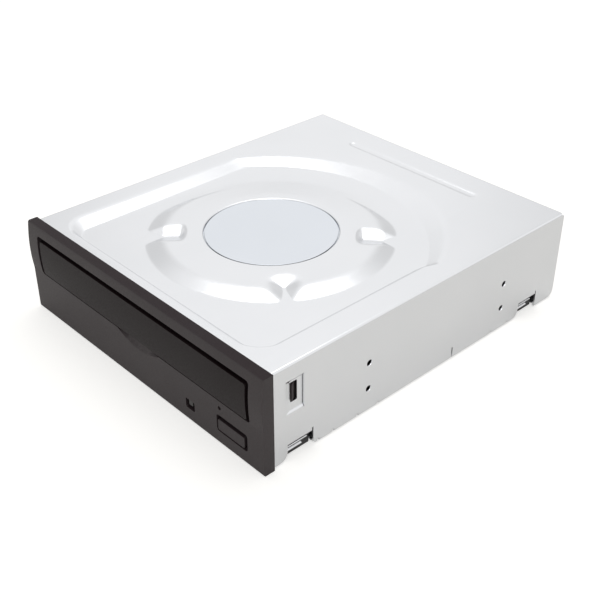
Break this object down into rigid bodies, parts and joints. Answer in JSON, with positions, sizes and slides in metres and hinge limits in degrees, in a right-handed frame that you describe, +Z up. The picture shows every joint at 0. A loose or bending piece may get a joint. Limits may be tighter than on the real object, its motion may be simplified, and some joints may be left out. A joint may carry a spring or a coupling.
{
  "type": "dvd drive",
  "caption": "Half-height internal DVD drive in a pressed steel case, with a sliding disc tray behind a black bezel, loader gears, lifting spindle and pickup, clamper and boards.",
  "frame": {"origin": "middle of the drive's footprint, level with the bezel's lowest edge", "axes": "+X to the right seen from the front, -Y out of the front where the tray opens, +Z up"},
  "size_m": [0.148, 0.17, 0.042],
  "materials": {
    "cover_steel": "satin zinc-coated sheet",
    "plate_steel": "satin",
    "bezel_plastic": "fine matt grain",
    "light_window": "smoked clear",
    "frame_plastic": "moulded",
    "tray_plastic": "moulded",
    "gear_plastic": "moulded acetal",
    "rubber": "matt",
    "steel": "machined",
    "magnet": "plain",
    "dark_plastic": "moulded",
    "pickup_metal": "die-cast",
    "lens_glass": "polished",
    "gold_contact": "plated",
    "circuit_board": "solder mask",
    "capacitor_can": "bright",
    "ribbon_film": "film",
    "led_resin": "clear"
  },
  "bodies": {
    "chassis": {"top_cover": "cover_steel", "hub_plate": "plate_steel", "bottom_cover": "cover_steel", "case_screws": "steel", "front_bezel": "bezel_plastic", "led_lens": "light_window", "main_frame": "frame_plastic", "loading_motor": "steel", "frame_screws": "steel", "drive_belt": "rubber", "clamper_bridge": "steel", "main_board": "circuit_board", "board_screws": "steel", "sata_connector": "dark_plastic", "sata_contacts": "gold_contact", "controller_chip": "dark_plastic", "memory_chip": "dark_plastic", "driver_chip": "dark_plastic", "thermal_pad": "rubber", "capacitors": "capacitor_can", "ribbon_sockets": "dark_plastic", "front_ribbon": "ribbon_film", "front_board": "circuit_board", "eject_switch": "dark_plastic", "status_led": "led_resin", "pickup_ribbon": "ribbon_film", "motor_ribbon": "ribbon_film"},
    "tray": {"disc_tray": "tray_plastic", "tray_door": "bezel_plastic"},
    "tray_gear": {"tray_gear": "gear_plastic"},
    "pulley_gear": {"pulley_gear": "gear_plastic"},
    "motor_pulley": {"motor_pulley": "gear_plastic"},
    "button": {"eject_button": "bezel_plastic", "switch_plunger": "dark_plastic"},
    "cam_slider": {"cam_slider": "gear_plastic"},
    "lift": {"lift_frame": "frame_plastic", "traverse_plate": "steel", "rubber_dampers": "rubber", "traverse_screws": "steel", "spindle_base": "steel", "spindle_stator": "steel", "rod_clips": "dark_plastic", "main_guide_rod": "steel", "side_guide_rod": "steel", "sled_motor": "steel", "sled_bracket": "steel"},
    "spindle": {"spindle_rotor": "steel", "rotor_magnet": "magnet", "turntable": "dark_plastic", "turntable_pad": "rubber", "centring_cone": "dark_plastic"},
    "pickup": {"pickup_body": "pickup_metal", "actuator_cover": "dark_plastic", "screw_follower": "gear_plastic"},
    "lens": {"lens_holder": "dark_plastic", "objective_lens": "lens_glass"},
    "lead_screw": {"lead_screw": "steel"},
    "clamper": {"clamper_hub": "tray_plastic", "clamper_magnet": "magnet", "clamper_cap": "steel"}
  },
  "joints": [
    {"name": "tray_slide", "type": "slide", "parent": "chassis", "child": "tray", "axis": [0, -1, 0], "range_m": [0, 0.138]},
    {"name": "tray_gear_spin", "type": "hinge", "parent": "chassis", "child": "tray_gear", "pos_m": [-0.045, -0.0636, 0.02], "axis": [0, 0, 1], "range_deg": [-2, 1131.55]},
    {"name": "pulley_gear_spin", "type": "hinge", "parent": "chassis", "child": "pulley_gear", "pos_m": [-0.02964, -0.06631, 0.017], "axis": [0, 0, 1], "range_deg": [-3767.15, 2]},
    {"name": "motor_pulley_spin", "type": "hinge", "parent": "chassis", "child": "motor_pulley", "pos_m": [-0.00564, -0.06631, 0.016], "axis": [0, 0, 1], "range_deg": [-11181.6, 2]},
    {"name": "eject_press", "type": "slide", "parent": "chassis", "child": "button", "axis": [0, 1, 0], "range_m": [0, 0.001], "stiffness_N_per_m": 900},
    {"name": "traverse_lift", "type": "hinge", "parent": "chassis", "child": "lift", "pos_m": [0, 0.0704, 0.017], "axis": [-1, 0, 0], "range_deg": [0, 5.2], "deforming": ["motor_ribbon"]},
    {"name": "cam_slide", "type": "slide", "parent": "chassis", "child": "cam_slider", "axis": [1, 0, 0], "range_m": [0, 0.015]},
    {"name": "spindle_spin", "type": "hinge", "parent": "lift", "child": "spindle", "pos_m": [0, -0.01527, 0.01824], "axis": [0, -0.0906, 0.9959], "continuous": true},
    {"name": "clamper_spin", "type": "hinge", "parent": "chassis", "child": "clamper", "pos_m": [0, -0.0148, 0.034], "axis": [0, 0, 1], "continuous": true},
    {"name": "pickup_slide", "type": "slide", "parent": "lift", "child": "pickup", "axis": [0, 0.9959, 0.0906], "range_m": [0, 0.0338], "deforming": ["pickup_ribbon"]},
    {"name": "lead_screw_spin", "type": "hinge", "parent": "lift", "child": "lead_screw", "pos_m": [0.0306, 0.02549, 0.01392], "axis": [0, 0.9959, 0.0906], "range_deg": [-2, 6122]},
    {"name": "lens_focus", "type": "slide", "parent": "pickup", "child": "lens", "axis": [0, -0.0906, 0.9959], "range_m": [-0.0005, 0.0005], "stiffness_N_per_m": 40}
  ],
  "couplings": [
    {"joint": "tray_gear_spin", "follows": "tray_slide", "rad_per_m": 142.86},
    {"joint": "pulley_gear_spin", "follows": "tray_slide", "rad_per_m": -476.19},
    {"joint": "motor_pulley_spin", "follows": "tray_slide", "rad_per_m": -1413.9},
    {"joint": "cam_slide", "follows": "traverse_lift", "m_per_rad": 0.16528},
    {"joint": "lead_screw_spin", "follows": "pickup_slide", "rad_per_m": 3141.6}
  ]
}
